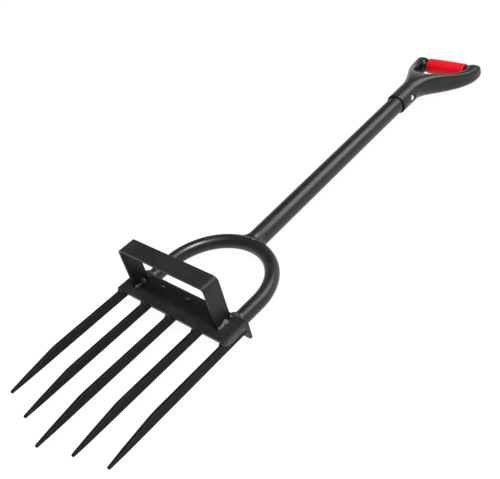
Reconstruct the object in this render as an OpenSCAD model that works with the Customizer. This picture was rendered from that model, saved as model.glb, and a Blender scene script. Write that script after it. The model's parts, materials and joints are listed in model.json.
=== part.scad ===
// Five-tine lawn aerator fork. It lies on its back, foot bracket up:
// +X across the tine row, +Y along the shaft towards the grip, +Z up.
// The floor is Z = 0 and the origin is under the middle of the whole tool.

/* [Crosspiece] */
// Width of the bent plate that carries the tines
cross_w = 232; // [225:1:260]
// Front-to-back depth of its flat flange, wall included
flange_d = 51; // [45:1:60]
// Height of its wall, flange included
wall_h = 36; // [32:1:45]
// Thickness of its plate
plate_t = 5; // [3:0.5:6]

/* [Tines] */
// Distance from one tine to the next
tine_pitch = 56; // [52:0.5:57]
// Thickness of a tine, across the row
tine_t = 6; // [4:0.5:8]
// Depth of a tine at its root
tine_h = 16; // [12:0.5:20]
// Length of the middle tine in front of the wall
tine_mid = 299; // [250:1:320]
// How much shorter the tines beside it are
step_inner = 19.5; // [0:0.5:30]
// How much shorter the outermost tines are
step_outer = 34.5; // [0:0.5:60]
// Length of the pointed end
taper_len = 85; // [40:1:120]
// Depth left at the blunt tip
tip_h = 3.5; // [2:0.5:6]

/* [Foot bracket] */
// Width over both legs
bracket_w = 184; // [120:1:200]
// Height above the flange
bracket_h = 79; // [50:1:100]
// Width of its flat strap
strap_w = 29; // [20:1:36]
// Thickness of its strap
strap_t = 4; // [3:0.5:5]
// Outside radius of its bends
bend_r = 9; // [6:0.5:15]
// Gap between the strap and the crosspiece wall
strap_back = 3.5; // [2:0.5:8]

/* [Yoke] */
// Outside diameter of the bent tube
yoke_d = 24; // [18:0.5:28]
// Wall thickness of the bent tube
yoke_wall = 2; // [1:0.25:3]
// Distance between its leg axes
yoke_w = 190; // [150:1:200]
// Straight length of each leg
yoke_leg = 42; // [20:1:80]
// Height of its axis above the floor
yoke_z = 22.5; // [16:0.5:24]

/* [Shaft] */
// Outside diameter of the straight tube
shaft_d = 32; // [28:0.5:36]
// Wall thickness of the straight tube
shaft_wall = 1.5; // [1:0.25:2.5]
// Rise of the shaft towards the grip, in degrees
shaft_tilt = 2; // [0:0.25:4]
// Distance from the yoke's crown to the crossbar of the grip
grip_reach = 620; // [400:1:800]

/* [Grip] */
// Distance from the mouth of the socket to the crossbar
grip_len = 188; // [180:1:205]
// Outside diameter of the socket
socket_d = 39; // [37:0.5:44]
// Length of shaft inside the socket
socket_depth = 62; // [50:1:66]
// Width over both arms
grip_w = 142; // [132:1:150]
// Depth of the arms at the crossbar, front to back
arm_h = 31; // [30:1:38]
// Extra depth of the neck above and below, where it bends
swell = 3; // [0:0.5:4]
// Width of the hand opening between the arms
opening_w = 96; // [90:1:100]
// Outside diameter of the soft sleeve on the crossbar
sleeve_d = 30.5; // [28:0.5:33]
// Length of the soft sleeve
sleeve_len = 80; // [70:1:86]
// Diameter of the black boss at each end of the sleeve
boss_d = 27; // [25:0.5:30]
// Diameter of the plastic core in the soft sleeve
core_d = 22; // [16:0.5:24]
// Diameter of the rivet through socket and shaft
rivet_d = 5; // [4:0.5:6]

/* [Hidden] */
$fn = 64;

eps = 0.01;
cut = 1;
flange_top = wall_h;
tine_top = flange_top - plate_t;
yoke_r = yoke_w / 2;
yoke_crown = plate_t + yoke_leg + yoke_r;
// Drop of the crossbar below the shaft's axis, so that the grip's arms just clear the floor
rest_gap = 0.1;
bar_drop = (yoke_z + grip_reach * sin(shaft_tilt) - arm_h / 2 - rest_gap) / cos(shaft_tilt);
// Distance from the wall's front face to the far end of the grip
grip_end = yoke_crown + grip_reach * cos(shaft_tilt) + bar_drop * sin(shaft_tilt) + arm_h / 2;
// Front face of the crosspiece wall, placed so that the whole tool is centred on Y = 0
wall_y = (tine_mid - grip_end) / 2;
flange_front = wall_y + plate_t - flange_d;
strap_y = wall_y - strap_back - strap_w;

bead_r = 4;
// Start of the shaft, just short of the yoke's outer edge
shaft_foot = yoke_d * 0.3;
// The neck starts to flare and to sink a little before the end of the shaft inside it
neck_start = grip_reach - grip_len + socket_depth - 15;
flare_len = grip_reach - neck_start - 2;
arm_corner_r = 12;
opening_start = neck_start + 52;
opening_round = 75;
paint = [0.09, 0.09, 0.09];
plastic = [0.07, 0.07, 0.07];
red = [0.75, 0.07, 0.09];
steel = [0.75, 0.75, 0.76];

function ease(t) = t * t * (3 - 2 * t);
function tine_x(i) = (i - 3) * tine_pitch;
function tine_len(i) = tine_mid - [0, step_inner, step_outer][abs(i - 3)];

// --- crosspiece and tines ---

module crosspiece() {
    color(paint)
        translate([-cross_w / 2, wall_y, 0])
            difference() {
                union() {
                    cube([cross_w, plate_t, wall_h]);
                    translate([0, plate_t - flange_d, wall_h - plate_t])
                        cube([cross_w, flange_d, plate_t]);
                }
                // rounded outer edge of the bend
                translate([-cut, plate_t, wall_h])
                    rotate([0, 90, 0])
                        bend_relief(cross_w + 2 * cut);
            }
}

// Square rod with a quarter-round missing, which rounds an outer edge
module bend_relief(len) {
    r = plate_t * 0.6;
    difference() {
        translate([-cut, -r, 0]) cube([r + cut, r + cut, len]);
        translate([r, -r, -cut]) cylinder(r = r, h = len + 2 * cut);
    }
}

// Side view of a tine, tip at negative Y, top edge falling towards the tip
module tine_profile(len) {
    low = tine_top - tine_h;
    polygon([[0, low], [0, tine_top], [taper_len - len, tine_top],
        [tip_h / 2 - len, low + tip_h], [-len, low + tip_h / 2], [tip_h / 2 - len, low]]);
}

module tine(i) {
    color(paint)
        translate([tine_x(i) - tine_t / 2, wall_y, 0])
            rotate([90, 0, 90])
                linear_extrude(tine_t) tine_profile(tine_len(i));
}

// Bead round the tine in front of the flange, and one up each side at the wall
module tine_weld(i) {
    side_bead = tine_h * 0.7;
    color(paint)
        difference() {
            translate([tine_x(i), 0, 0]) {
                translate([-tine_t / 2 - 2.5, flange_front, tine_top])
                    rotate([0, 90, 0]) cylinder(r = bead_r, h = tine_t + 5);
                for (side = [-1, 1])
                    translate([side * tine_t / 2, wall_y, tine_top - side_bead])
                        cylinder(r = 3, h = side_bead);
            }
            translate([-cross_w, flange_front, tine_top]) cube([2 * cross_w, flange_d, 2 * bead_r]);
            translate([-cross_w, wall_y, 0]) cube([2 * cross_w, flange_d, wall_h]);
            translate([tine_x(i) - tine_t / 2, wall_y - tine_mid, tine_top - tine_h])
                cube([tine_t, tine_mid, tine_h]);
            // the outer beads end flush with the crosspiece
            for (side = [-1, 1])
                translate([side * cross_w, flange_front, tine_top])
                    cube([cross_w, 4 * flange_d, 4 * wall_h], center = true);
        }
}

// Plug welds that stand proud of the flange over the three middle tines
module plug_welds() {
    color(paint)
        for (i = [2:4])
            translate([tine_x(i) + 7, wall_y - 9, flange_top])
                intersection() {
                    translate([0, 0, -1]) sphere(r = 3.5);
                    cylinder(r = 4, h = 4);
                }
}

// --- foot bracket ---

module strap_outline(inset) {
    r = bend_r - inset;
    half = bracket_w / 2 - inset;
    top = bracket_h - inset;
    difference() {
        union() {
            translate([-half, -inset]) square([2 * half, top - r + inset]);
            translate([-half + r, 0]) square([2 * (half - r), top]);
            for (side = [-1, 1]) translate([side * (half - r), top - r]) circle(r);
        }
        if (inset == 0) translate([-half - cut, -cut]) square([2 * half + 2 * cut, cut]);
    }
}

module foot_bracket() {
    color(paint)
        translate([0, strap_y + strap_w, flange_top])
            rotate([90, 0, 0])
                linear_extrude(strap_w)
                    difference() {
                        strap_outline(0);
                        strap_outline(strap_t);
                    }
}

// Beads along both faces of one bracket leg, each ending in a blob, and a tack behind it
module bracket_weld(side) {
    bead_len = strap_w * 0.55;
    mid = side * (bracket_w / 2 - strap_t / 2);
    color(paint)
        difference() {
            union() {
                for (face = [-1, 1])
                    translate([mid + face * strap_t / 2, strap_y - 1, flange_top]) {
                        rotate([-90, 0, 0]) cylinder(r = 3, h = bead_len);
                        translate([0, bead_len, 0]) sphere(r = 4);
                    }
                translate([mid, strap_y + strap_w, flange_top]) sphere(r = 3);
            }
            translate([mid - strap_t / 2, strap_y, 0]) cube([strap_t, strap_w, bracket_h]);
            translate([-cross_w, strap_y - strap_w, 0]) cube([2 * cross_w, 3 * strap_w, flange_top]);
        }
}

// --- yoke ---

module yoke_solid(d, extra = 0) {
    translate([0, wall_y + plate_t, yoke_z]) {
        for (side = [-1, 1])
            translate([side * yoke_r, -extra, 0])
                rotate([-90, 0, 0]) cylinder(d = d, h = yoke_leg + extra);
        translate([0, yoke_leg, 0])
            rotate_extrude(angle = 180, $fn = 240) translate([yoke_r, 0]) circle(d = d);
    }
}

module yoke_tube() {
    color(paint)
        difference() {
            yoke_solid(yoke_d);
            yoke_solid(yoke_d - 2 * yoke_wall, cut);
        }
}

// Fillet round one foot of the yoke, trimmed to the back of the wall
module yoke_weld(side) {
    leg = 5;
    color(paint)
        intersection() {
            translate([side * yoke_r, wall_y + plate_t, yoke_z])
                rotate([-90, 0, 0])
                    rotate_extrude()
                        polygon([[yoke_d / 2, 0], [yoke_d / 2 + leg, 0],
                            [yoke_d / 2 + leg * 0.45, leg * 0.45], [yoke_d / 2, leg]]);
            translate([-cross_w / 2, wall_y, 0.5])
                cube([cross_w, flange_d, wall_h - plate_t * 0.6 - 0.5]);
        }
}

// --- shaft ---

// Places its children on the shaft's axis: +Y runs from the yoke's crown to the grip
module on_shaft() {
    translate([0, wall_y + yoke_crown, yoke_z]) rotate([shaft_tilt, 0, 0]) children();
}

module shaft_rod(d, from, to) {
    translate([0, from, 0]) rotate([-90, 0, 0]) cylinder(d = d, h = to - from);
}

module shaft_tube() {
    top = grip_reach - grip_len + socket_depth;
    color(paint)
        difference() {
            on_shaft()
                difference() {
                    shaft_rod(shaft_d, shaft_foot, top);
                    shaft_rod(shaft_d - 2 * shaft_wall, shaft_foot - cut, top + cut);
                }
            yoke_solid(yoke_d);
            rivet_shank(shaft_d);
        }
}

// Weld metal between the shaft's foot and the yoke: a recessed seam all round, with a
// broad fillet on either side where the yoke curves away from the shaft
module shaft_weld() {
    r = shaft_d / 2;
    inner = yoke_d / 2 - 3;
    spread = 70;
    color(paint)
        difference() {
            on_shaft()
                rotate([-90, 0, 0]) {
                    rotate_extrude()
                        polygon([[inner, 2], [yoke_d / 2 + 1, 3.5], [r, shaft_foot - 1],
                            [r, shaft_foot], [inner, shaft_foot]]);
                    for (side = [0, 180])
                        rotate([0, 0, side - spread / 2])
                            rotate_extrude(angle = spread)
                                polygon([[r - 1, 4], [r + 6, 4], [r + 5, 10], [r + 2, 12.5],
                                    [r, 18], [r, shaft_foot], [r - 1, shaft_foot]]);
                }
            yoke_solid(yoke_d);
        }
}

// --- grip ---

// Half width of the grip, t running from the neck to the end of the flare
function flare(t) = socket_d / 2 + (grip_w - socket_d) / 2 * ease(t);
// Drop of the grip below the shaft's axis, t running from the neck to the crossbar
function sag(t) = -bar_drop * ease(t);

// Plan of the grip: one long flare out to the ends of the arms, with rounded corners
module grip_plan() {
    r = arm_corner_r;
    steps = 16;
    end = grip_reach + arm_h / 2;
    side = [for (k = [0:steps]) [flare(k / steps), neck_start + flare_len * k / steps]];
    corner = [for (a = [0:10:90]) [grip_w / 2 - r + r * cos(a), end - r + r * sin(a)]];
    right = concat([[socket_d / 2, neck_start - 6]], side, corner);
    left = [for (k = [len(right) - 1:-1:0]) [-right[k][0], right[k][1]]];
    polygon(concat(right, left));
}

// Plan of the hand opening, open towards the far end
module opening_plan() {
    inner = opening_w / 2;
    top = opening_start + opening_round;
    arc = [for (a = [0:10:180]) [inner * cos(a), top - opening_round * sin(a)]];
    polygon(concat(arc, [[-inner, grip_reach + arm_h], [inner, grip_reach + arm_h]]));
}

// Half depth of the grip, with its swell, which is greatest at t = 0.4
function half_depth(t) = (socket_d + (arm_h - socket_d) * ease(t)) / 2
    + swell * 28.9 * t * t * pow(1 - t, 3);

// Side view of the grip: bends from the shaft's axis down to the crossbar
module grip_side() {
    steps = 16;
    r0 = socket_d / 2;
    r1 = arm_h / 2;
    run = grip_reach - neck_start;
    upper = [for (k = [0:steps]) let (t = k / steps)
        [neck_start + run * t, sag(t) + half_depth(t)]];
    lower = [for (k = [steps:-1:0]) let (t = k / steps)
        [neck_start + run * t, sag(t) - half_depth(t)]];
    round_end = [for (a = [80:-10:-80]) [grip_reach + r1 * cos(a), r1 * sin(a) - bar_drop]];
    polygon(concat([[neck_start - 6, r0]], upper, round_end, lower, [[neck_start - 6, -r0]]));
}

module crossbar(d, len) {
    translate([-len / 2, grip_reach, -bar_drop]) rotate([0, 90, 0]) cylinder(d = d, h = len);
}

module rivet_shank(len) {
    on_shaft()
        translate([-len, grip_reach - grip_len + socket_depth / 2, 0])
            rotate([0, 90, 0]) cylinder(d = rivet_d, h = 2 * len);
}

// Both seats of the rivet heads, sunk into the sides of the socket
module rivet_seats(d, depth, reach) {
    on_shaft()
        for (side = [-1, 1])
            translate([side * (socket_d / 2 - depth), grip_reach - grip_len + socket_depth / 2, 0])
                rotate([0, side * 90, 0]) cylinder(d = d, h = reach);
}

module grip_body() {
    mouth = grip_reach - grip_len;
    color(plastic)
        difference() {
            on_shaft()
                difference() {
                    union() {
                        shaft_rod(socket_d, mouth, neck_start);
                        intersection() {
                            linear_extrude(6 * arm_h, center = true) grip_plan();
                            translate([-grip_w, 0, 0])
                                rotate([90, 0, 90]) linear_extrude(2 * grip_w) grip_side();
                        }
                    }
                    linear_extrude(6 * arm_h, center = true) opening_plan();
                    shaft_rod(shaft_d, mouth - cut, mouth + socket_depth);
                }
            rivet_shank(socket_d);
            rivet_seats(10, 2, 10);
        }
    color(plastic)
        on_shaft() {
            crossbar(core_d, opening_w);
            difference() {
                crossbar(boss_d, opening_w);
                crossbar(boss_d + cut, sleeve_len);
            }
        }
}

module grip_sleeve() {
    color(red)
        on_shaft()
            difference() {
                crossbar(sleeve_d, sleeve_len);
                crossbar(core_d, sleeve_len + 2 * cut);
            }
}

module grip_rivet() {
    color(steel) {
        intersection() {
            rivet_shank(socket_d);
            on_shaft() translate([0, grip_reach - grip_len + socket_depth / 2, 0])
                cube([socket_d - 4 + eps, 4 * rivet_d, 4 * rivet_d], center = true);
        }
        rivet_seats(8.5, 2, 2);
    }
}

crosspiece();
tine(1);  // tine_1
tine(2);  // tine_2
tine(3);  // tine_3
tine(4);  // tine_4
tine(5);  // tine_5
tine_weld(1);  // tine_weld_1
tine_weld(2);  // tine_weld_2
tine_weld(3);  // tine_weld_3
tine_weld(4);  // tine_weld_4
tine_weld(5);  // tine_weld_5
plug_welds();
foot_bracket();
bracket_weld(-1);  // bracket_weld_left
bracket_weld(1);  // bracket_weld_right
yoke_tube();
yoke_weld(-1);  // yoke_weld_left
yoke_weld(1);  // yoke_weld_right
shaft_tube();
shaft_weld();
grip_body();
grip_sleeve();
grip_rivet();
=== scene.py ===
"""Looks of a five-tine lawn aerator fork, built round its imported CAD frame."""
import json
import math

import bmesh
import bpy
import numpy as np
from mathutils import Matrix, Vector


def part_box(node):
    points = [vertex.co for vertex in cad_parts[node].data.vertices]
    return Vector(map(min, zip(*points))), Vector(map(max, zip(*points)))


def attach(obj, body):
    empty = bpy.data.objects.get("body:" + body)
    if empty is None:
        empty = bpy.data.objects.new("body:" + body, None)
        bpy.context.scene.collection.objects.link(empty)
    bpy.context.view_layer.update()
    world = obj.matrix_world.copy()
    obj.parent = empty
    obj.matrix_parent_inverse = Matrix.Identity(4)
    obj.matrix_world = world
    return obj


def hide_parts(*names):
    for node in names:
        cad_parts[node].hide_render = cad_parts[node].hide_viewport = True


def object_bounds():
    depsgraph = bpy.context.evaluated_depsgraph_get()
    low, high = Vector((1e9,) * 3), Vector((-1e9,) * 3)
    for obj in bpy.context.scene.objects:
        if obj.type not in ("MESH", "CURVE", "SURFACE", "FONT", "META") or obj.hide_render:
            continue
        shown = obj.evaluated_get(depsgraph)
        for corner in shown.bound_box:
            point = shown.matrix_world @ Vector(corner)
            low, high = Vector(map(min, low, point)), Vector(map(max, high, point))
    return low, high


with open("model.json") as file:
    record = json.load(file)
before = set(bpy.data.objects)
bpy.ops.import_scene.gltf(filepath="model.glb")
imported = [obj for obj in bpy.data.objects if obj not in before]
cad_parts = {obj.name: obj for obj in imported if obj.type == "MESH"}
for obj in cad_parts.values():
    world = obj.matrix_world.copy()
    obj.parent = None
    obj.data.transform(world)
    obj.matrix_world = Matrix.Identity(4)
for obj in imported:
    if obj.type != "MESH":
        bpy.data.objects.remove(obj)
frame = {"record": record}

CAD_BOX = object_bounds()
MM = 0.001

# ---------------------------------------------------------------- places, from the frame


def corners(node):
    """A CAD node's lowest and highest corners as arrays, in metres."""
    return tuple(np.array(corner, float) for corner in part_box(node))


def mount(name):
    """A mount's position and axis from the record."""
    found = next(m for m in frame["record"]["mounts"] if m["name"] == name)
    return np.array(found["pos_m"], float), np.array(found["axis"], float)


CROSS_LO, CROSS_HI = corners("crosspiece")
TINE_HI = corners("tine_3")[1]
STRAP_LO, STRAP_HI = corners("foot_bracket")
YOKE_LO, YOKE_HI = corners("yoke_tube")
GRIP_LO, GRIP_HI = corners("grip_body")
SLEEVE_LO, SLEEVE_HI = corners("grip_sleeve")
SHAFT_LO, SHAFT_HI = corners("shaft_tube")

FLANGE_TOP = CROSS_HI[2]
FLANGE_FRONT = CROSS_LO[1]
WALL_BACK = CROSS_HI[1]
WALL_FRONT = TINE_HI[1]
PLATE_T = WALL_BACK - WALL_FRONT
TINE_TOP = TINE_HI[2]

STRAP_T = 4 * MM
STRAP_BEND = 9 * MM
BEND_STEPS = 12

YOKE_RAD = (YOKE_HI[2] - YOKE_LO[2]) / 2
YOKE_Z = (YOKE_HI[2] + YOKE_LO[2]) / 2
YOKE_BEND = YOKE_HI[0] - YOKE_RAD
YOKE_CROWN = YOKE_HI[1] - YOKE_RAD

SHAFT_RAD = (SHAFT_HI[0] - SHAFT_LO[0]) / 2
SHAFT_DIR = mount("shaft_clip")[1]
SHAFT_UP = np.array([0.0, -SHAFT_DIR[2], SHAFT_DIR[1]])
SHAFT_ORIGIN = np.array([0.0, YOKE_CROWN, YOKE_Z])


def in_shaft_frame(y, z):
    """Distances from the yoke's crown along the shaft, and above the shaft's axis."""
    dy, dz = y - SHAFT_ORIGIN[1], z - SHAFT_ORIGIN[2]
    return dy * SHAFT_DIR[1] + dz * SHAFT_DIR[2], dy * SHAFT_UP[1] + dz * SHAFT_UP[2]


# Names that end in _S are distances along the shaft from the yoke's crown. The grip is made
# a hair smaller than its CAD box, so that its rounded skin never reaches past it.
SKIN_ROOM = 0.1 * MM
BAR = mount("grip_bar")[0]
BAR_S, BAR_RISE = in_shaft_frame(BAR[1], BAR[2])
BAR_DROP = -BAR_RISE
ARM_HALF_H = BAR[2] - GRIP_LO[2] - SKIN_ROOM
GRIP_HALF_W = GRIP_HI[0] - SKIN_ROOM
SLEEVE_HALF = SLEEVE_HI[0]
SLEEVE_RAD = (SLEEVE_HI[2] - SLEEVE_LO[2]) / 2
SOCKET_RAD = 19.5 * MM
MOUTH_S = (GRIP_LO[1] - SHAFT_ORIGIN[1] + SOCKET_RAD * SHAFT_DIR[2]) / SHAFT_DIR[1]
NECK_S = MOUTH_S + 47 * MM
OPENING_S = NECK_S + 55 * MM
OPENING_REACH = 72 * MM
OPENING_HALF = 48 * MM
FLARE = BAR_S - NECK_S - 2 * MM
SWELL = 3 * MM
ARM_CORNER = 12.5 * MM
END_CORNER = 12 * MM
BOSS_RAD = 13.4 * MM
BORE_DEEP = 18 * MM
RIVET_MID = sum(corners("grip_rivet")) / 2
RIVET_S = in_shaft_frame(RIVET_MID[1], RIVET_MID[2])[0]
SEAT_DEEP = 3 * MM
SEAT_RAD = 7 * MM

# ---------------------------------------------------------------- mesh tools


def ease(t):
    """Smooth step from 0 to 1."""
    t = np.clip(t, 0, 1)
    return t * t * (3 - 2 * t)


def add_piece(name, verts, faces, material, nodes=(), edge=None):
    """Makes a mesh object that rides on the tool, and hides the CAD nodes it stands for."""
    mesh = bpy.data.meshes.new(name)
    mesh.from_pydata([tuple(v) for v in verts], [], [tuple(f) for f in faces])
    mesh.validate()
    if edge is not None:
        mesh.attributes.new("edge", "FLOAT", "POINT").data.foreach_set(
            "value", np.asarray(edge, np.float32))
    mesh.polygons.foreach_set("use_smooth", [True] * len(mesh.polygons))
    mesh.materials.append(material)
    piece = bpy.data.objects.new(name, mesh)
    bpy.context.scene.collection.objects.link(piece)
    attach(piece, "root")
    if nodes:
        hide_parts(*nodes)
    return piece


def keep_flats_flat(piece):
    """Face-weighted normals, so that flat faces between rounded edges shade flat."""
    weighted = piece.modifiers.new("flat faces", "WEIGHTED_NORMAL")
    weighted.weight = 80
    return piece


def loft(name, rings, material, nodes, edge):
    """Closed skin over rings of points, each ring an (n, 3) array, with both ends capped."""
    rings = np.asarray(rings, float)
    count, n = rings.shape[:2]
    faces = []
    for i in range(count - 1):
        for j in range(n):
            k = (j + 1) % n
            faces.append((i * n + j, i * n + k, (i + 1) * n + k, (i + 1) * n + j))
    faces.append(tuple(reversed(range(n))))
    faces.append(tuple(range((count - 1) * n, count * n)))
    edge = np.broadcast_to(edge, (count, n)).reshape(-1)
    piece = add_piece(name, rings.reshape(-1, 3), faces, material, nodes, edge)
    made = bmesh.new()
    made.from_mesh(piece.data)
    bmesh.ops.recalc_face_normals(made, faces=made.faces)
    made.to_mesh(piece.data)
    made.free()
    return piece


def rounded_outline(corner_points, radius, inset, arc_steps=4):
    """Outline with rounded corners and an extra point just inside each one.

    Returns the (n, 2) points and, for each, 1 on a rounded corner and 0 on a flat.
    """
    points, edge = [], []
    total = len(corner_points)
    for i in range(total):
        here = np.array(corner_points[i], float)
        before = np.array(corner_points[i - 1], float) - here
        after = np.array(corner_points[(i + 1) % total], float) - here
        u, v = before / np.linalg.norm(before), after / np.linalg.norm(after)
        half = math.acos(np.clip(u @ v, -1, 1)) / 2
        reach = radius / math.tan(half)
        centre = here + (u + v) / np.linalg.norm(u + v) * radius / math.sin(half)
        start, end = here + u * reach - centre, here + v * reach - centre
        points.append(here + u * (reach + inset))
        edge.append(0)
        for k in range(arc_steps + 1):
            t = k / arc_steps
            spoke = start * (1 - t) + end * t
            points.append(centre + spoke / np.linalg.norm(spoke) * radius)
            edge.append(1)
        points.append(here + v * (reach + inset))
        edge.append(0)
    return np.array(points), np.array(edge, float)


def surface_net(name, field, lo, hi, step, material, nodes=()):
    """Closed mesh of the surface where field(x, y, z) is 0; the field is negative inside."""
    lo, hi = np.array(lo, float), np.array(hi, float)
    size = np.ceil((hi - lo) / step).astype(int) + 1
    grid = np.meshgrid(*[lo[k] + step * np.arange(size[k]) for k in range(3)], indexing="ij")
    values = field(*grid)
    inside = values < 0
    cells = tuple(size - 1)
    # Each cell's point is the mean of the places where the surface crosses its edges.
    total = np.zeros(cells + (3,))
    crossings = np.zeros(cells)
    for axis in range(3):
        a = [slice(None)] * 3
        b = [slice(None)] * 3
        a[axis], b[axis] = slice(0, -1), slice(1, None)
        va, vb = values[tuple(a)], values[tuple(b)]
        crossed = (va < 0) != (vb < 0)
        t = np.where(crossed, va / np.where(crossed, va - vb, 1), 0)
        others = [k for k in range(3) if k != axis]
        for shift_1 in (0, 1):
            for shift_2 in (0, 1):
                part = [slice(None)] * 3
                part[others[0]] = slice(shift_1, size[others[0]] - 1 + shift_1)
                part[others[1]] = slice(shift_2, size[others[1]] - 1 + shift_2)
                hit = crossed[tuple(part)]
                total[..., axis] += hit * t[tuple(part)]
                total[..., others[0]] += hit * shift_1
                total[..., others[1]] += hit * shift_2
                crossings += hit
    active = crossings > 0
    index = -np.ones(cells, int)
    index[active] = np.arange(active.sum())
    where = np.argwhere(active)
    verts = lo + step * (where + total[active] / crossings[active][:, None])
    # Each grid edge that the surface crosses makes a quad between the four cells round it.
    quads = []
    for axis in range(3):
        o1, o2 = (axis + 1) % 3, (axis + 2) % 3
        a = [slice(None)] * 3
        b = [slice(None)] * 3
        a[axis], b[axis] = slice(0, -1), slice(1, None)
        for k in (o1, o2):
            a[k] = b[k] = slice(1, -1)
        out = inside[tuple(a)] & ~inside[tuple(b)]
        back = ~inside[tuple(a)] & inside[tuple(b)]
        for mask, turn in ((out, 1), (back, -1)):
            at = np.argwhere(mask)
            at[:, o1] += 1
            at[:, o2] += 1
            ring = []
            for d1, d2 in ((0, 0), (-1, 0), (-1, -1), (0, -1)):
                cell = at.copy()
                cell[:, o1] += d1
                cell[:, o2] += d2
                ring.append(index[cell[:, 0], cell[:, 1], cell[:, 2]])
            quads.append(np.stack(ring[::turn], 1))
    for _ in range(3):
        verts = settle(verts, field, step * 0.05, step)
    return add_piece(name, verts, np.concatenate(quads), material, nodes)


def settle(verts, field, tiny, cap):
    """Moves points along the field's gradient onto its zero surface."""
    x, y, z = verts.T
    value = field(x, y, z)
    slope = np.stack([
        (field(x + tiny, y, z) - field(x - tiny, y, z)) / (2 * tiny),
        (field(x, y + tiny, z) - field(x, y - tiny, z)) / (2 * tiny),
        (field(x, y, z + tiny) - field(x, y, z - tiny)) / (2 * tiny)], 1)
    length = np.maximum((slope ** 2).sum(1), 0.05)
    move = -(value / length)[:, None] * slope
    far = np.linalg.norm(move, axis=1)
    return verts + move * np.minimum(1, 0.5 * cap / np.maximum(far, 1e-12))[:, None]


def smooth_min(a, b, k):
    """Union of two fields with a blend of width k."""
    h = np.clip(0.5 + 0.5 * (b - a) / k, 0, 1)
    return b + (a - b) * h - k * h * (1 - h)


def smooth_max(a, b, k):
    """Intersection of two fields with a rounded edge of width k."""
    return -smooth_min(-a, -b, k)


def ripple(x, y, z, size):
    """Irregular waves from -1 to 1, about size metres across, the same on every run."""
    s = 2 * math.pi / size
    return (np.sin(s * (x + 0.31 * y) + 1.3) * np.sin(s * (0.9 * y - 0.4 * z) + 0.4)
            + np.sin(s * (0.7 * z + 0.5 * x) + 2.1) * np.sin(s * 1.7 * (y + 0.2 * x))) / 2


# ---------------------------------------------------------------- materials


class Shader:
    """A Principled material whose colour, roughness and bump come from procedural nodes."""

    def __init__(self, name):
        self.material = bpy.data.materials.new(name)
        self.material.use_nodes = True
        self.tree = self.material.node_tree
        self.bsdf = self.tree.nodes["Principled BSDF"]
        self.place = self.node("ShaderNodeTexCoord").outputs["Object"]

    def node(self, kind, **settings):
        made = self.tree.nodes.new(kind)
        for key, value in settings.items():
            setattr(made, key, value)
        return made

    def link(self, source, target):
        self.tree.links.new(source, target)

    def stretched(self, scale):
        """Object coordinates scaled by a different amount along each axis."""
        mapping = self.node("ShaderNodeMapping")
        mapping.inputs["Scale"].default_value = scale
        self.link(self.place, mapping.inputs["Vector"])
        return mapping.outputs["Vector"]

    def noise(self, scale, detail=4.0, rough=0.55, vector=None):
        """Fractal noise, whose patches are about 1 / scale metres across."""
        made = self.node("ShaderNodeTexNoise")
        made.inputs["Scale"].default_value = scale
        made.inputs["Detail"].default_value = detail
        made.inputs["Roughness"].default_value = rough
        self.link(vector or self.place, made.inputs["Vector"])
        return made.outputs["Fac"]

    def remap(self, value, low, high, to_low=0.0, to_high=1.0):
        """A value's range from low to high, spread over to_low to to_high and clamped."""
        made = self.node("ShaderNodeMapRange")
        for key, number in (("From Min", low), ("From Max", high), ("To Min", to_low),
                            ("To Max", to_high)):
            made.inputs[key].default_value = number
        self.link(value, made.inputs["Value"])
        return made.outputs["Result"]

    def math(self, operation, a, b):
        made = self.node("ShaderNodeMath", operation=operation)
        for socket, value in zip(made.inputs, (a, b)):
            if isinstance(value, (int, float)):
                socket.default_value = value
            else:
                self.link(value, socket)
        return made.outputs[0]

    def mix(self, factor, a, b):
        made = self.node("ShaderNodeMix", data_type="RGBA")
        self.link(factor, made.inputs["Factor"])
        for socket, value in ((made.inputs[6], a), (made.inputs[7], b)):
            if isinstance(value, tuple):
                socket.default_value = (*value, 1.0)
            else:
                self.link(value, socket)
        return made.outputs[2]

    def edge(self):
        """1 on rounded edges and 0 on flats, from the mesh's own edge attribute."""
        return self.node("ShaderNodeAttribute", attribute_name="edge").outputs["Fac"]

    def bump(self, height, distance, strength=1.0, after=None):
        """Bump from a height, laid over an earlier bump where one is given."""
        made = self.node("ShaderNodeBump")
        made.inputs["Distance"].default_value = distance
        made.inputs["Strength"].default_value = strength
        self.link(height, made.inputs["Height"])
        if after is not None:
            self.link(after, made.inputs["Normal"])
        return made.outputs["Normal"]

    def finish(self, colour, roughness, normal, specular=0.5, metallic=0.0):
        self.link(colour, self.bsdf.inputs["Base Color"])
        self.link(roughness, self.bsdf.inputs["Roughness"])
        self.link(normal, self.bsdf.inputs["Normal"])
        self.bsdf.inputs["Specular IOR Level"].default_value = specular
        self.bsdf.inputs["Metallic"].default_value = metallic
        return self.material


def black_paint(name, tone, gloss, specular):
    """Black powder coat: fine orange peel, faint dust and streaks, with a painted highlight on the
    rounded edges.
    """
    s = Shader(name)
    dust = s.remap(s.noise(38, 6, 0.62), 0.38, 0.72)
    speck = s.remap(s.noise(620, 3, 0.6), 0.6, 0.72)
    # Painted highlight: lighter colour on the rounded edges, broken up by noise.
    painted_edge_highlight = s.math("MULTIPLY", s.edge(), s.remap(s.noise(210, 4), 0.4, 0.62))
    shade = s.mix(dust, tuple(tone * c for c in (0.80, 0.80, 0.78)),
                  tuple(tone * c for c in (1.22, 1.21, 1.17)))
    shade = s.mix(s.math("MULTIPLY", speck, 0.5), shade, tuple(tone * c for c in (5.0, 5.0, 4.8)))
    shade = s.mix(s.math("MULTIPLY", painted_edge_highlight, 0.6), shade, tuple(tone * c for c in (3.6, 3.6, 3.4)))
    rough = s.math("ADD", s.remap(dust, 0, 1, gloss, gloss + 0.08), s.math("MULTIPLY", speck, 0.03))
    peel = s.bump(s.noise(700, 2, 0.5), 0.00012, 0.45)
    wave = s.bump(s.noise(60, 2, 0.5), 0.0003, 0.2, after=peel)
    return s.finish(shade, rough, wave, specular)


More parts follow.
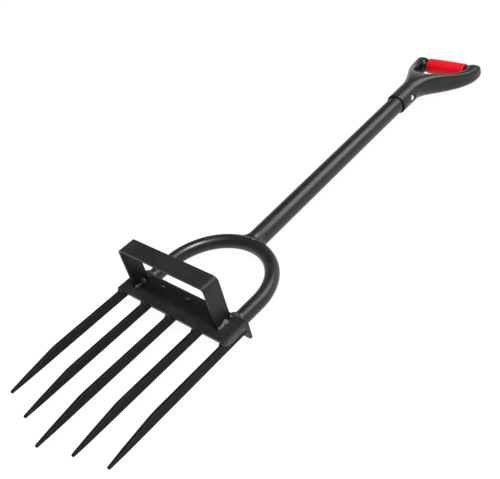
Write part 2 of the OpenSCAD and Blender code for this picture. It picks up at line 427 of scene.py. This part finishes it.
def weld_paint(name, tone, specular):
    """The same coat over rough weld metal, with scale ripples and spatter."""
    s = Shader(name)
    patch = s.remap(s.noise(160, 5, 0.6), 0.35, 0.68)
    shade = s.mix(patch, tuple(tone * c for c in (0.7, 0.7, 0.68)),
                  tuple(tone * c for c in (1.9, 1.9, 1.85)))
    rough = s.remap(patch, 0, 1, 0.40, 0.56)
    grain = s.bump(s.noise(1500, 3, 0.6), 0.0002, 0.3)
    lump = s.bump(s.noise(420, 3, 0.55), 0.0005, 0.3, after=grain)
    return s.finish(shade, rough, lump, specular)


def moulded_plastic(name, dark, light, gloss, grain_size, specular):
    """Moulded plastic with a fine spark-eroded grain and faint flow marks."""
    s = Shader(name)
    flow = s.remap(s.noise(1, 4, 0.55, s.stretched((24, 9, 24))), 0.35, 0.68)
    scuff = s.remap(s.noise(130, 5, 0.62), 0.55, 0.74)
    shade = s.mix(flow, dark, light)
    shade = s.mix(s.math("MULTIPLY", scuff, 0.3), shade, tuple(1.3 * c + 0.01 for c in light))
    rough = s.math("ADD", s.remap(flow, 0, 1, gloss, gloss + 0.08), s.math("MULTIPLY", scuff, 0.1))
    grain = s.bump(s.noise(grain_size, 2, 0.6), 0.00012, 0.45)
    flow_bump = s.bump(s.noise(60, 2), 0.0003, 0.2, after=grain)
    return s.finish(shade, rough, flow_bump, specular)


def bright_steel(name):
    """Turned rivet head: bright, with fine rings of wear."""
    s = Shader(name)
    cloud = s.remap(s.noise(700, 4), 0.35, 0.7)
    shade = s.mix(cloud, (0.72, 0.72, 0.73), (0.93, 0.93, 0.94))
    rough = s.remap(cloud, 0, 1, 0.16, 0.3)
    return s.finish(shade, rough, s.bump(s.noise(2600, 2), 0.0001, 0.3), 0.5, 1.0)


def pale_floor(name):
    """Matt studio floor, lit through from below so that shadows on it stay faint."""
    s = Shader(name)
    cloud = s.remap(s.noise(0.8, 3), 0.3, 0.7)
    shade = s.mix(cloud, (0.05, 0.05, 0.05), (0.06, 0.06, 0.06))
    s.link(s.mix(cloud, (0.99, 0.99, 0.99), (1.0, 1.0, 1.0)), s.bsdf.inputs["Emission Color"])
    s.bsdf.inputs["Emission Strength"].default_value = 0.97
    return s.finish(shade, s.remap(cloud, 0, 1, 0.85, 0.95), s.bump(s.noise(8), 0.0004, 0.05), 0.1)


PLATE = black_paint("plate_paint", 0.0090, 0.33, 0.25)
TUBE = black_paint("tube_paint", 0.0052, 0.34, 0.42)
TINE = black_paint("tine_paint", 0.0052, 0.40, 0.10)
BEAD = weld_paint("bead_paint", 0.020, 0.30)
# A lighter copy of the bead paint: its extra lightness is a painted highlight on the bracket beads,
# the flange plugs and the end runs.
BEAD_PAINTED_HIGHLIGHT = weld_paint("bead_paint_painted_highlight", 0.046, 0.26)
PLASTIC = moulded_plastic("black_grip", (0.0055, 0.0055, 0.0058), (0.0095, 0.0092, 0.0095), 0.27,
                          1100, 0.34)
RED = moulded_plastic("red_sleeve", (0.44, 0.0015, 0.007), (0.54, 0.003, 0.011), 0.36, 800, 0.20)
STEEL = bright_steel("rivet_head")

# ---------------------------------------------------------------- plates and bars


def crosspiece():
    """The L-shaped plate: flange and wall, with a rounded bend and softened edges."""
    y0, y1, y2 = FLANGE_FRONT, WALL_FRONT, WALL_BACK
    z0, z1, z2 = CROSS_LO[2], FLANGE_TOP - PLATE_T, FLANGE_TOP
    soft, bend = 0.5 * MM, 2.4 * MM
    outline, edge = rounded_outline(
        [(y0, z1), (y0, z2), (y2 - bend, z2), (y2, z2 - bend), (y2, z0), (y1, z0),
         (y1, z1 + 0.01 * MM)], soft, 0.9 * MM, 3)
    half = CROSS_HI[0]
    # From an end inwards: how far in, how much smaller the outline is, and 1 on the edge.
    end = [(0, 1, 1), (0.2 * MM, 0.35, 1), (soft, 0, 1), (1.6 * MM, 0, 0)]
    stations = ([(-half + into, shrink, mark) for into, shrink, mark in end]
                + [(half - into, shrink, mark) for into, shrink, mark in reversed(end)])
    rings, marks = [], []
    for x, shrink, mark in stations:
        pulled = inward(outline, shrink * soft * 0.8)
        rings.append(np.column_stack([np.full(len(pulled), x), pulled]))
        marks.append(np.maximum(edge, mark))
    piece = loft("crosspiece_plate", rings, PLATE, ["crosspiece"], np.array(marks))
    return keep_flats_flat(piece)


def inward(outline, distance):
    """The outline moved inwards along its own normals."""
    before, after = np.roll(outline, 1, 0), np.roll(outline, -1, 0)
    run = after - before
    run /= np.linalg.norm(run, axis=1)[:, None]
    area = 0.5 * np.sum(before[:, 0] * outline[:, 1] - outline[:, 0] * before[:, 1])
    turn = 1 if area > 0 else -1
    return outline + distance * turn * np.column_stack([-run[:, 1], run[:, 0]])


def tine(number):
    """Flat bar on edge: straight bottom, top edge easing into a long taper, blunt tip."""
    lo, hi = corners(f"tine_{number}")
    x = (lo[0] + hi[0]) / 2
    half_t, depth = (hi[0] - lo[0]) / 2, hi[2] - lo[2]
    taper, tip, blend, nose_len = 85 * MM, 3.5 * MM, 9 * MM, 1.75 * MM
    slope = (depth - tip) / taper
    rings, marks = [], []
    stations = [0, 0.25, 0.6, 1.0, 1.75, 3, 6, 14, 30, 50, 66, 74, 78, 81, 84, 87, 90, 94, 110, 160]
    length = hi[1] - lo[1]
    for s in [s * MM for s in stations] + [length - 1 * MM, length]:
        fall = float(smooth_max(np.array(0.0), np.array((taper - s) * slope), blend * slope))
        round_off = min(1.0, s / nose_len)
        nose = math.sqrt(max(0.0, 1 - (1 - round_off) ** 2))
        height_here = max(depth - fall, tip * 0.98) if s > nose_len else tip * nose
        height_here = max(height_here, 0.4 * MM)
        middle = lo[2] + (height_here / 2 if s > nose_len else tip / 2)
        half_x = half_t * (0.72 + 0.28 * min(1.0, s / (30 * MM))) * (0.45 + 0.55 * nose)
        soft = min(0.8 * MM, height_here * 0.35, half_x * 0.6)
        outline, edge = rounded_outline(
            [(-half_x, -height_here / 2), (half_x, -height_here / 2),
             (half_x, height_here / 2), (-half_x, height_here / 2)], soft,
            min(0.7 * MM, height_here * 0.1, half_x * 0.25), 3)
        rings.append(np.column_stack([x + outline[:, 0], np.full(len(outline), lo[1] + s),
                                      middle + outline[:, 1]]))
        marks.append(np.maximum(edge, 1 - min(1.0, s / (6 * MM))))
    piece = loft(f"tine_bar_{number}", rings, TINE, [f"tine_{number}"],
                 np.array(marks))
    return keep_flats_flat(piece)


def strap_path():
    """Centre line of the strap loop in X and Z, with its outward normals."""
    half, top = STRAP_HI[0], STRAP_HI[2]
    radius = STRAP_BEND - STRAP_T / 2
    points, normals = [], []

    def straight(p, q, normal, parts):
        for k in range(parts + 1):
            points.append(np.array(p) + (np.array(q) - np.array(p)) * k / parts)
            normals.append(np.array(normal, float))

    def bend(cx, cz, start):
        for k in range(1, BEND_STEPS):
            a = math.radians(start - 90 * k / BEND_STEPS)
            normals.append(np.array([math.cos(a), math.sin(a)]))
            points.append(np.array([cx, cz]) + radius * normals[-1])

    mid_x, mid_z = half - STRAP_T / 2, top - STRAP_T / 2
    bend_x, bend_z = half - STRAP_BEND, top - STRAP_BEND
    straight((-mid_x, STRAP_LO[2]), (-mid_x, bend_z), (-1, 0), 4)
    bend(-bend_x, bend_z, 180)
    straight((-bend_x, mid_z), (bend_x, mid_z), (0, 1), 8)
    bend(bend_x, bend_z, 90)
    straight((mid_x, bend_z), (mid_x, STRAP_LO[2]), (1, 0), 4)
    return points, normals


def foot_bracket():
    """Flat strap bent into a loop, with softened edges."""
    points, normals = strap_path()
    width = STRAP_HI[1] - STRAP_LO[1]
    mid_y = (STRAP_HI[1] + STRAP_LO[1]) / 2
    outline, edge = rounded_outline(
        [(-width / 2, -STRAP_T / 2), (width / 2, -STRAP_T / 2), (width / 2, STRAP_T / 2),
         (-width / 2, STRAP_T / 2)], 0.6 * MM, 1.1 * MM, 4)
    rings = []
    for point, normal in zip(points, normals):
        across = point + outline[:, 1][:, None] * normal
        rings.append(np.column_stack([across[:, 0], mid_y + outline[:, 0], across[:, 1]]))
    piece = loft("bracket_strap", rings, PLATE, ["foot_bracket"], edge)
    return keep_flats_flat(piece)


# ---------------------------------------------------------------- tubes

TUBE_SIDES = 56
CROWN_STEPS = 72


def tube_ring(centre, side, up, radius, squeeze=1.0):
    """One ring of a tube, a little oval where squeeze isn't 1."""
    angle = np.arange(TUBE_SIDES) * 2 * math.pi / TUBE_SIDES
    return (centre + np.outer(np.cos(angle) * radius * squeeze, side)
            + np.outer(np.sin(angle) * radius, up))


def yoke():
    """Bent tube: two straight legs and a half-circle crown, slightly oval in the bend."""
    up = np.array([0.0, 0.0, 1.0])
    bend_y = YOKE_CROWN - YOKE_BEND
    rings = []
    for y in np.linspace(WALL_BACK, bend_y, 8)[:-1]:
        rings.append(tube_ring(np.array([YOKE_BEND, y, YOKE_Z]), np.array([1.0, 0, 0]), up,
                               YOKE_RAD))
    for k in range(CROWN_STEPS + 1):
        a = math.pi * k / CROWN_STEPS
        out = np.array([math.cos(a), math.sin(a), 0.0])
        oval = 1 - 0.03 * math.sin(a) ** 0.5 if 0 < k < CROWN_STEPS else 1
        centre = np.array([0, bend_y, YOKE_Z]) + YOKE_BEND * out
        rings.append(tube_ring(centre, out, up, YOKE_RAD, oval))
    for y in np.linspace(bend_y, WALL_BACK, 8)[1:]:
        rings.append(tube_ring(np.array([-YOKE_BEND, y, YOKE_Z]), np.array([-1.0, 0, 0]), up,
                               YOKE_RAD))
    return loft("yoke_bent_tube", rings, TUBE, ["yoke_tube"], 0.0)


def shaft():
    """Straight tube; its foot is cut to sit over the yoke, with the tube wall showing."""
    foot, top = 7.2 * MM, MOUTH_S + BORE_DEEP - 1 * MM
    wall = 2.2 * MM
    count = 72
    angle = np.arange(count) * 2 * math.pi / count
    sideways, height = np.cos(angle), np.sin(angle)
    axis_y = np.sqrt(YOKE_BEND ** 2 - (SHAFT_RAD * sideways) ** 2) - YOKE_BEND
    under = YOKE_RAD ** 2 - (SHAFT_RAD * height) ** 2
    saddle = np.maximum(foot, axis_y + np.sqrt(np.maximum(under, 0)) - 0.6 * MM)

    def ring(radius, along):
        flat = np.column_stack([radius * sideways, np.zeros(count), np.zeros(count)])
        return (SHAFT_ORIGIN + flat + np.outer(np.full(count, 1.0) * along, SHAFT_DIR)
                + np.outer(radius * height, SHAFT_UP))

    rings = [ring(SHAFT_RAD - wall, saddle + 9 * MM), ring(SHAFT_RAD - wall, saddle + 0.5 * MM),
             ring(SHAFT_RAD - wall + 0.5 * MM, saddle), ring(SHAFT_RAD - 0.5 * MM, saddle),
             ring(SHAFT_RAD - 0.15 * MM, saddle + 0.15 * MM), ring(SHAFT_RAD, saddle + 0.5 * MM)]
    marks = [0, 0, 1, 1, 1, 1]
    for along in np.linspace(30 * MM, top, 24):
        rings.append(ring(SHAFT_RAD, along))
        marks.append(0)
    return loft("shaft_straight_tube", rings, TUBE, ["shaft_tube"],
                np.array(marks, float)[:, None])


# ---------------------------------------------------------------- welds


def bead_field(path, radius, pitch=2.2 * MM, rough=0.35 * MM, end_swell=1.0):
    """Field of a weld bead along a path: overlapping drops with an uneven skin."""
    path = np.array(path, float)
    legs = np.linalg.norm(np.diff(path, axis=0), axis=1)
    total = legs.sum()
    count = max(2, int(round(total / pitch)) + 1)
    marks = np.concatenate([[0], np.cumsum(legs)])
    drops = []
    for k in range(count):
        s = total * k / (count - 1)
        centre = np.array([np.interp(s, marks, path[:, axis]) for axis in range(3)])
        wobble = 1 + 0.10 * math.sin(2.3 * k + 0.7) + 0.06 * math.sin(5.1 * k)
        swell = 1 + (end_swell - 1) * (k / (count - 1)) ** 4
        drops.append((centre, radius * wobble * swell))

    def field(x, y, z):
        best = None
        for centre, r in drops:
            d = np.sqrt((x - centre[0]) ** 2 + (y - centre[1]) ** 2 + (z - centre[2]) ** 2) - r
            best = d if best is None else smooth_min(best, d, 0.9 * MM)
        return best + rough * ripple(x, y, z, 4.5 * MM)

    low = path.min(0) - 2.2 * radius * end_swell
    high = path.max(0) + 2.2 * radius * end_swell
    return field, low, high


def weld(name, beads, nodes, keep_out=None, paint=BEAD):
    """One piece of weld metal from several beads, trimmed to the room it has."""
    fields = [bead_field(**bead) for bead in beads]
    low = np.min([f[1] for f in fields], 0)
    high = np.max([f[2] for f in fields], 0)

    def field(x, y, z):
        best = fields[0][0](x, y, z)
        for other in fields[1:]:
            best = smooth_min(best, other[0](x, y, z), 1.0 * MM)
        return best if keep_out is None else np.maximum(best, keep_out(x, y, z))

    return surface_net(name, field, low, high, 0.5 * MM, paint, nodes)


def tine_weld(number):
    """Beads where a tine meets the flange's front edge, and down each side at the wall."""
    lo, hi = corners(f"tine_{number}")
    x, half = (lo[0] + hi[0]) / 2, (hi[0] - lo[0]) / 2
    front, top = FLANGE_FRONT, TINE_TOP
    beads = [
        dict(path=[(x - half + 0.2 * MM, front + 0.6 * MM, top + 0.6 * MM),
                   (x + half - 0.4 * MM, front + 0.6 * MM, top + 0.8 * MM)], radius=2.2 * MM),
        dict(path=[(x - half - 0.4 * MM, front - 1.2 * MM, top - 2.4 * MM),
                   (x - half - 1.4 * MM, front + 3.0 * MM, top - 1.0 * MM),
                   (x - half - 1.2 * MM, front + 11 * MM, top - 0.6 * MM)], radius=2.5 * MM),
        dict(path=[(x + half + 0.2 * MM, front + 1.0 * MM, top - 1.2 * MM),
                   (x + half + 0.2 * MM, front + 8 * MM, top - 0.8 * MM)], radius=1.7 * MM)]
    for side in (-1, 1):
        beads.append(dict(
            path=[(x + side * (half + 0.3 * MM), WALL_FRONT - 0.4 * MM, top - 1 * MM),
                  (x + side * (half + 0.3 * MM), WALL_FRONT - 0.4 * MM, top - 11 * MM)],
            radius=2.4 * MM))
    limit = CROSS_HI[0]

    def sides(x_, y_, z_):
        return np.maximum(np.abs(x_) - limit + 0.1 * MM, z_ - FLANGE_TOP + 0.6 * MM)

    return weld(f"tine_weld_bead_{number}", beads, [f"tine_weld_{number}"], sides)


def end_bead(side, word):
    """Rough run of weld along the outside of an outer tine, under the flange's end."""
    x = side * (corners("tine_5")[1][0] - 1.7 * MM)
    front, back = FLANGE_FRONT + 2.5 * MM, WALL_FRONT - 3 * MM
    beads = []
    for deep in (1.2 * MM, 5.6 * MM):
        path = [(x, front + deep, TINE_TOP - deep), (x, (2 * front + back) / 3, TINE_TOP - deep - MM),
                (x, (front + 2 * back) / 3, TINE_TOP - deep), (x, back, TINE_TOP - deep - MM)]
        beads.append(dict(path=path, radius=3.1 * MM, rough=0.7 * MM))
    limit = CROSS_HI[0] - 0.15 * MM

    def sides(x_, y_, z_):
        return np.maximum(np.abs(x_) - limit, z_ - FLANGE_TOP + 1.2 * MM)

    # The lighter bead paint on this run is a painted highlight.
    return weld(f"end_bead_{word}", beads, [], sides, BEAD_PAINTED_HIGHLIGHT)


def plug_welds():
    """Rough round plugs on the flange over the three middle tines."""
    lo, hi = corners("plug_welds")
    y = (lo[1] + hi[1]) / 2
    beads = []
    for i in (-1, 0, 1):
        x = i * (hi[0] - lo[0] - (hi[1] - lo[1])) / 2 + (hi[0] + lo[0]) / 2
        beads.append(dict(path=[(x - 1.8 * MM, y - 0.8 * MM, FLANGE_TOP - 0.6 * MM),
                                (x + 0.2 * MM, y + 0.4 * MM, FLANGE_TOP + 0.5 * MM),
                                (x + 1.8 * MM, y + 1.0 * MM, FLANGE_TOP - 0.8 * MM)],
                          radius=2.5 * MM, rough=0.7 * MM))
    # The lighter bead paint on the plugs is a painted highlight.
    return weld("flange_plug_beads", beads, ["plug_welds"], paint=BEAD_PAINTED_HIGHLIGHT)


def bracket_weld(side, word):
    """Beads up both faces of a bracket leg, each ending in a blob, and tacks behind it."""
    face_out, face_in = STRAP_HI[0], STRAP_HI[0] - STRAP_T
    start, end = STRAP_LO[1] + 3 * MM, STRAP_LO[1] + 16 * MM
    z = FLANGE_TOP + 0.4 * MM
    beads = []
    for x, out in ((face_out + 0.8 * MM, 1), (face_in - 0.8 * MM, -1)):
        beads.append(dict(
            path=[(side * x, start, z), (side * (x + 0.5 * out * MM), start + 5 * MM, z + 0.3 * MM),
                  (side * x, start + 9 * MM, z), (side * (x + out * MM), end, z + 1.8 * MM)],
            radius=2.5 * MM, end_swell=1.9, rough=0.4 * MM))
    beads.append(dict(path=[(side * (face_out - 3 * MM), STRAP_HI[1] + 0.4 * MM, z),
                            (side * face_out, STRAP_HI[1] + 0.2 * MM, z + 0.8 * MM)],
                      radius=2.3 * MM))
    # The lighter bead paint on these beads is a painted highlight.
    return weld(f"bracket_beads_{word}", beads, [f"bracket_weld_{word}"], paint=BEAD_PAINTED_HIGHLIGHT)


def yoke_weld(side, word):
    """Fillet bead round the foot of one yoke leg, on the back of the wall."""
    ring = []
    for k in range(33):
        a = 2 * math.pi * k / 32
        ring.append((side * YOKE_BEND + (YOKE_RAD + 0.7 * MM) * math.cos(a),
                     WALL_BACK + 0.4 * MM, YOKE_Z + (YOKE_RAD + 0.7 * MM) * math.sin(a)))
    top = FLANGE_TOP - 0.4 * MM

    def trimmed(x, y, z):
        return np.maximum(z - top, 0.6 * MM - z)

    return weld(f"yoke_beads_{word}", [dict(path=ring, radius=2.9 * MM)],
                [f"yoke_weld_{word}"], trimmed)


def shaft_weld():
    """Seam between the shaft's foot and the yoke: recessed on top, flared at the sides."""
    rad = SHAFT_RAD

    def field(x, y, z):
        s, w = in_shaft_frame(y, z)
        r = np.sqrt(x ** 2 + w ** 2)
        # A plug inside the cut end of the tube, and a flare from the tube's sides to the yoke.
        plug = np.maximum(r - (rad - 2 * MM), np.abs(s - 4.2 * MM) - 3.6 * MM)
        to_yoke = np.sqrt((np.sqrt(x ** 2 + (s + YOKE_BEND) ** 2) - YOKE_BEND) ** 2
                          + w ** 2) - YOKE_RAD
        skin = smooth_min(np.maximum(r - rad, 7.5 * MM - s), to_yoke, 9 * MM)
        flare = np.maximum(skin, np.maximum(np.abs(w) - 10.5 * MM, r - rad - 6 * MM))
        flare = np.maximum(flare, np.maximum(s - 22 * MM, 1 * MM - s))
        both = smooth_min(plug, flare, 1.5 * MM)
        return both + 0.18 * MM * ripple(x, y, z, 5 * MM)

    centre = SHAFT_ORIGIN + SHAFT_DIR * 9 * MM
    reach = np.array([24, 17, 18]) * MM
    return surface_net("shaft_weld_seam", field, centre - reach, centre + reach, 0.6 * MM, BEAD,
                       ["shaft_weld"])


# ---------------------------------------------------------------- grip


def grip_half_width(s):
    """Half width of the grip's outline at a distance s along the shaft."""
    wide = SOCKET_RAD + (GRIP_HALF_W - SOCKET_RAD) * ease((s - NECK_S) / FLARE)
    past = np.clip(s - (BAR_S + ARM_HALF_H - END_CORNER), 0, END_CORNER)
    return wide - (END_CORNER - np.sqrt(np.maximum(END_CORNER ** 2 - past ** 2, 0)))


def grip_half_height(t):
    """Half height of the grip from neck (t = 0) to bar (t = 1), with a swell that tops at 0.4."""
    hump = 28.9 * t ** 2 * (1 - t) ** 3
    return SOCKET_RAD + (ARM_HALF_H - SOCKET_RAD) * ease(t) + SWELL * hump


def grip_field(x, y, z):
    """Field of the grip body: socket, bent neck, two arms round the hand opening, bosses."""
    s, w = in_shaft_frame(y, z)
    u = np.abs(x)
    # A rounded box in section, which bends from the shaft's line down to the bar's.
    t = np.clip((s - NECK_S) / (BAR_S - NECK_S), 0, 1)
    rise = w + BAR_DROP * ease(t)
    corner = SOCKET_RAD + (ARM_CORNER - SOCKET_RAD) * ease(1.6 * t)
    q1, q2 = u - grip_half_width(s) + corner, np.abs(rise) - grip_half_height(t) + corner
    body = (np.hypot(np.maximum(q1, 0), np.maximum(q2, 0))
            + np.minimum(np.maximum(q1, q2), 0) - corner)
    end = np.hypot(np.maximum(s - BAR_S, 0), rise) - ARM_HALF_H
    body = np.where(s > BAR_S, smooth_max(body, end, 3 * MM), body)
    # The hand opening: half an ellipse at the neck, and straight sides from there on.
    past_top = np.minimum(s - OPENING_S - OPENING_REACH, 0)
    hole = np.sqrt((u / OPENING_HALF) ** 2 + (past_top / OPENING_REACH) ** 2) - 1
    body = smooth_max(body, -hole * 0.85 * OPENING_HALF, 6 * MM)
    # A boss on the inside of each arm, round the bar.
    from_bar = np.hypot(s - BAR_S, w + BAR_DROP)
    boss = np.maximum(from_bar - BOSS_RAD + 0.12 * np.maximum(OPENING_HALF - u, 0),
                      np.maximum(SLEEVE_HALF - 1.5 * MM - u, u - OPENING_HALF - 4 * MM))
    body = smooth_min(body, boss, 2.5 * MM)
    # The socket's mouth with its bore, and the seats of the rivet's heads.
    bore = np.maximum(np.hypot(u, w) - (SHAFT_RAD + 0.5 * MM), s - MOUTH_S - BORE_DEEP)
    body = smooth_max(body, MOUTH_S + 0.3 * MM - s, 1.6 * MM)
    body = smooth_max(body, -bore, 1.2 * MM)
    seat = np.hypot(s - RIVET_S, w) - SEAT_RAD + 0.25 * (SOCKET_RAD - u)
    seat = np.maximum(seat, SOCKET_RAD - SEAT_DEEP - u)
    return smooth_max(body, -seat, 0.8 * MM)


def grip():
    """The moulded grip body, with a boss on the inside of each arm where the bar starts."""
    margin = 3 * MM
    lo = np.array([-GRIP_HALF_W, GRIP_LO[1], GRIP_LO[2]]) - margin
    hi = np.array([GRIP_HALF_W, GRIP_HI[1], GRIP_HI[2]]) + margin
    return surface_net("grip_moulding", grip_field, lo, hi, 1.5 * MM, PLASTIC,
                       ["grip_body"])


def sleeve():
    """Red sleeve on the crossbar: a long barrel with rolled ends."""
    half = SLEEVE_HALF - 0.2 * MM
    rings = []
    profile = [(-half, 0.80)]
    for k in range(5):
        a = math.radians(90 * k / 4)
        profile.append((-half + 1.4 * MM * (1 - math.cos(a)), 0.90 + 0.08 * math.sin(a)))
    for k in range(1, 24):
        t = k / 24
        profile.append(((2 * t - 1) * (half - 1.4 * MM), 0.98 + 0.02 * math.sin(math.pi * t)))
    profile += [(-x, r) for x, r in reversed(profile[:6])]
    up, out = np.array([0, 0, 1.0]), np.array([0, 1.0, 0])
    for x, share in profile:
        rings.append(tube_ring(BAR + np.array([x, 0, 0]), out, up, SLEEVE_RAD * share))
    return loft("sleeve_red", rings, RED, ["grip_sleeve"], 0.0)


def rivet():
    """Domed rivet heads in their seats on both sides of the socket."""
    verts, faces = [], []
    seat = SOCKET_RAD - SEAT_DEEP - 0.3 * MM
    profile = [(4.8, 0), (4.8, 0.9), (4.5, 1.5), (3.6, 2.1), (2.4, 2.5), (1.2, 2.7)]
    count = 28
    for side in (-1, 1):
        first = len(verts)
        for radius, out in profile:
            for k in range(count):
                a = 2 * math.pi * k / count
                at = (SHAFT_ORIGIN + SHAFT_DIR * (RIVET_S + radius * MM * math.cos(a))
                      + SHAFT_UP * radius * MM * math.sin(a))
                verts.append(at + np.array([side * (seat + out * MM), 0, 0]))
        for i in range(len(profile) - 1):
            for k in range(count):
                n = (k + 1) % count
                quad = [first + i * count + k, first + i * count + n,
                        first + (i + 1) * count + n, first + (i + 1) * count + k]
                faces.append(quad if side > 0 else quad[::-1])
        cap = [first + (len(profile) - 1) * count + k for k in range(count)]
        faces.append(cap if side > 0 else cap[::-1])
        base = [first + k for k in range(count)]
        faces.append(base[::-1] if side > 0 else base)
    return add_piece("rivet_heads", verts, faces, STEEL, ["grip_rivet"])


# ---------------------------------------------------------------- the whole tool

crosspiece()
foot_bracket()
yoke()
shaft()
for number in range(1, 6):
    tine(number)
    tine_weld(number)
plug_welds()
for side, word in ((-1, "left"), (1, "right")):
    bracket_weld(side, word)
    yoke_weld(side, word)
    end_bead(side, word)
shaft_weld()
grip()
sleeve()
rivet()

# ---------------------------------------------------------------- floor, light and camera


def floor():
    """Pale studio floor, level with the tool's lowest point."""
    mesh = bpy.data.meshes.new("studio_floor")
    half = 12.0
    mesh.from_pydata([(-half, -half, 0), (half, -half, 0), (half, half, 0), (-half, half, 0)],
                     [], [(0, 1, 2, 3)])
    mesh.materials.append(pale_floor("studio_floor"))
    piece = bpy.data.objects.new("studio_floor", mesh)
    bpy.context.scene.collection.objects.link(piece)
    piece.location.z = CAD_BOX[0][2]


def area_light(name, direction, distance, size, power):
    """Square soft light that looks at the tool's middle from a direction and a distance."""
    light = bpy.data.lights.new(name, "AREA")
    light.shape = "SQUARE"
    light.size = size
    light.energy = power
    lamp = bpy.data.objects.new(name, light)
    bpy.context.scene.collection.objects.link(lamp)
    way = Vector(direction).normalized()
    lamp.location = Vector((0, 0, 0.03)) + way * distance
    lamp.rotation_euler = way.to_track_quat("Z", "Y").to_euler()


def camera():
    """Camera at the viewing angle that the tool is drawn from, rolled as it was held."""
    azimuth, elevation, roll = (math.radians(a) for a in (50.955, 37.991, -15.799))
    back = Vector((math.sin(azimuth) * math.cos(elevation),
                   -math.cos(azimuth) * math.cos(elevation), math.sin(elevation)))
    right = Vector((math.cos(azimuth), math.sin(azimuth), 0))
    up = back.cross(right)
    side = right * math.cos(roll) + up * math.sin(roll)
    top = up * math.cos(roll) - right * math.sin(roll)
    data = bpy.data.cameras.new("camera")
    data.sensor_fit = "HORIZONTAL"
    data.sensor_width = 36
    data.lens = 51.6528
    cam = bpy.data.objects.new("camera", data)
    bpy.context.scene.collection.objects.link(cam)
    turn = Matrix((side, top, back)).transposed().to_4x4()
    place = Vector((0.70069, float(WALL_FRONT) - 0.42565, float(FLANGE_TOP) + 0.70215))
    cam.matrix_world = Matrix.Translation(place) @ turn
    bpy.context.scene.camera = cam


def studio():
    """Surroundings white at the horizon and dimmer above, a key light, and one for streaks."""
    world = bpy.data.worlds.new("studio")
    world.use_nodes = True
    tree = world.node_tree
    sky = tree.nodes["Background"]
    sky.inputs["Color"].default_value = (1.0, 1.0, 1.0, 1.0)
    place = tree.nodes.new("ShaderNodeTexCoord")
    split = tree.nodes.new("ShaderNodeSeparateXYZ")
    fade = tree.nodes.new("ShaderNodeMapRange")
    fade.interpolation_type = "SMOOTHSTEP"
    for key, number in (("From Min", 0.08), ("From Max", 0.42), ("To Min", 1.0), ("To Max", 0.12)):
        fade.inputs[key].default_value = number
    tree.links.new(place.outputs["Generated"], split.inputs["Vector"])
    tree.links.new(split.outputs["Z"], fade.inputs["Value"])
    tree.links.new(fade.outputs["Result"], sky.inputs["Strength"])
    bpy.context.scene.world = world
    area_light("key", (0.25, -0.165, 1.0), 2.2, 0.30, 70)
    area_light("streak", (0.42, 0.60, 0.75), 2.4, 1.5, 48)
    bpy.context.scene.view_settings.view_transform = "Standard"


floor()
studio()
camera()
